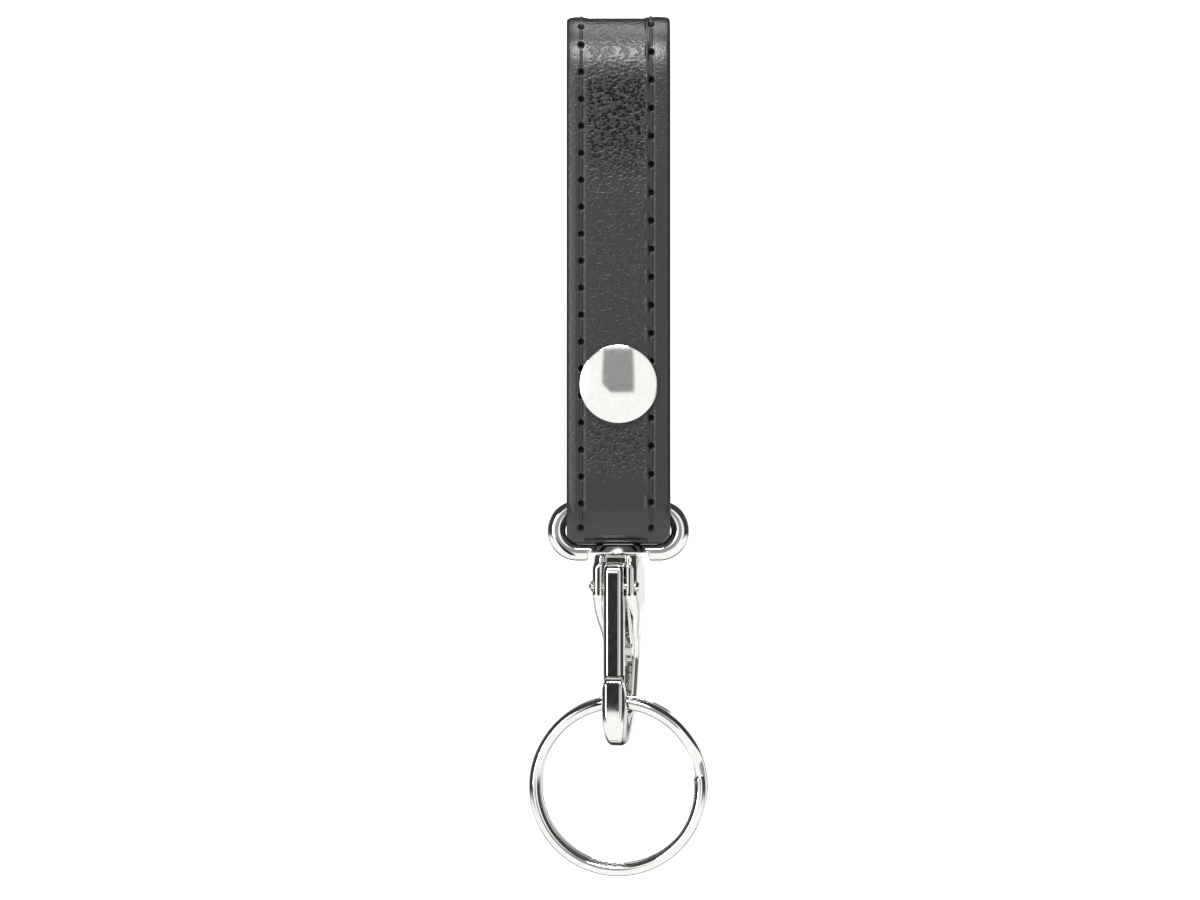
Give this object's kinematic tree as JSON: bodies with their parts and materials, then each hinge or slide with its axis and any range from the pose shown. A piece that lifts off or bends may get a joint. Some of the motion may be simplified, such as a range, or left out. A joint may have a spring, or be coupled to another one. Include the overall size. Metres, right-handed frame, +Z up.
{
  "type": "belt key clip",
  "caption": "Stitched black leather strap that folds over a belt and closes with a snap, with a swivelling snap hook and a split ring for keys hanging from its lower end.",
  "frame": {"origin": "middle of the slot that the belt runs through", "axes": "+X along the belt, -Y to the front with the snap cap, +Z up"},
  "size_m": [0.0346, 0.0167, 0.1667],
  "materials": {
    "grain_leather": "black, fine pebbled grain, half gloss",
    "lining_leather": "black, smooth, matt",
    "thread": "black waxed thread",
    "nickel": "polished nickel plating",
    "spring_steel": "bare drawn wire"
  },
  "bodies": {
    "strap": {"strap_outer_rear": "grain_leather", "strap_lining_rear": "lining_leather", "strap_outer_bend": "grain_leather", "strap_lining_bend": "lining_leather", "stitching_rear": "thread", "stitching_bend": "thread", "snap_stud": "nickel", "snap_post": "nickel"},
    "front_flap": {"strap_outer_front": "grain_leather", "strap_lining_front": "lining_leather", "stitching_front": "thread", "snap_cap": "nickel", "snap_barrel": "nickel", "snap_socket": "nickel", "snap_grip_ring": "spring_steel"},
    "loop": {"swivel_loop": "nickel"},
    "hook": {"hook_body": "nickel", "swivel_rivet": "nickel", "gate_pin": "nickel", "gate_spring": "spring_steel"},
    "gate": {"gate": "nickel"},
    "key_ring": {"split_ring": "nickel"}
  },
  "joints": [
    {"name": "flap_open", "type": "hinge", "parent": "strap", "child": "front_flap", "pos_m": [0, 0, 0.0254], "axis": [-1, 0, 0], "range_deg": [0, 80], "deforming": ["strap_outer_bend", "strap_lining_bend", "stitching_bend"]},
    {"name": "loop_swing", "type": "hinge", "parent": "front_flap", "child": "loop", "pos_m": [0, -0.0006, -0.063], "axis": [1, 0, 0], "range_deg": [-65, 65]},
    {"name": "hook_swivel", "type": "hinge", "parent": "loop", "child": "hook", "pos_m": [0, -0.0006, -0.0717], "axis": [0, 0, 1], "continuous": true},
    {"name": "gate_open", "type": "hinge", "parent": "hook", "child": "gate", "pos_m": [-0.00078, -0.00462, -0.0779], "axis": [0.9816, -0.1908, 0], "range_deg": [0, 17], "stiffness_Nm_per_rad": 0.05, "springref_deg": -11.46, "deforming": ["gate_spring"]},
    {"name": "ring_swing", "type": "hinge", "parent": "hook", "child": "key_ring", "pos_m": [0, -0.0006, -0.1057], "axis": [0.0872, 0.9962, 0], "range_deg": [-45, 45]}
  ]
}
